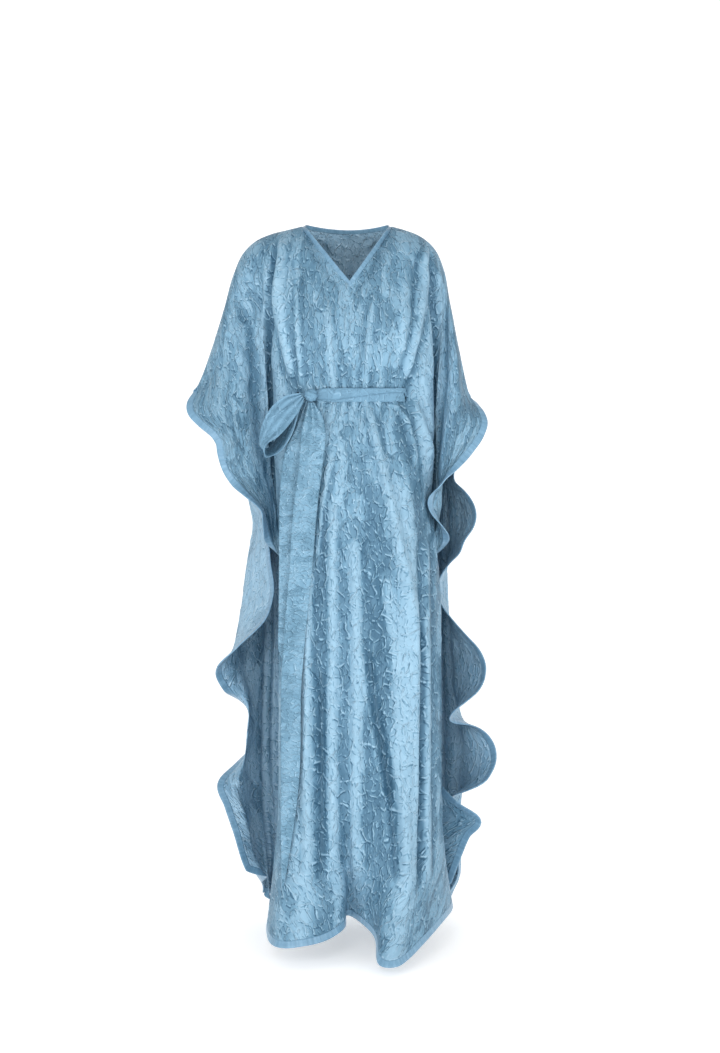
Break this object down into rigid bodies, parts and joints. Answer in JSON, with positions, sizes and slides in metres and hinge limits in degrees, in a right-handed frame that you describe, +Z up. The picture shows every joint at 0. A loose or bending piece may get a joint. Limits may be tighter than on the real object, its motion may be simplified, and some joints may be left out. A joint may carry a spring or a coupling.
{
  "type": "organza kaftan",
  "caption": "Floor-length V-neck kaftan of crushed organza, open waved sides with bound edges, tied sash belt through two slits, hollow as worn.",
  "frame": {"origin": "midway between the two neck points, at the height where the wearer's shoulders carry the cloth", "axes": "+Z up, the wearer faces -Y, +X is the wearer's left"},
  "size_m": [0.6452, 0.5529, 1.4801],
  "materials": {
    "organza": "crushed satin-faced organza, dusty blue",
    "binding_satin": "smooth satin bias binding, dusty blue",
    "belt_organza": "crushed satin-faced organza, folded lengthwise, dusty blue"
  },
  "bodies": {
    "root": {"front_panel": "organza", "back_panel": "organza", "front_edge_binding": "binding_satin", "back_edge_binding": "binding_satin", "neck_binding": "binding_satin", "belt_band": "belt_organza", "belt_knot": "belt_organza", "bow_loop": "belt_organza", "long_tail": "belt_organza", "short_tail": "belt_organza"}
  },
  "joints": []
}
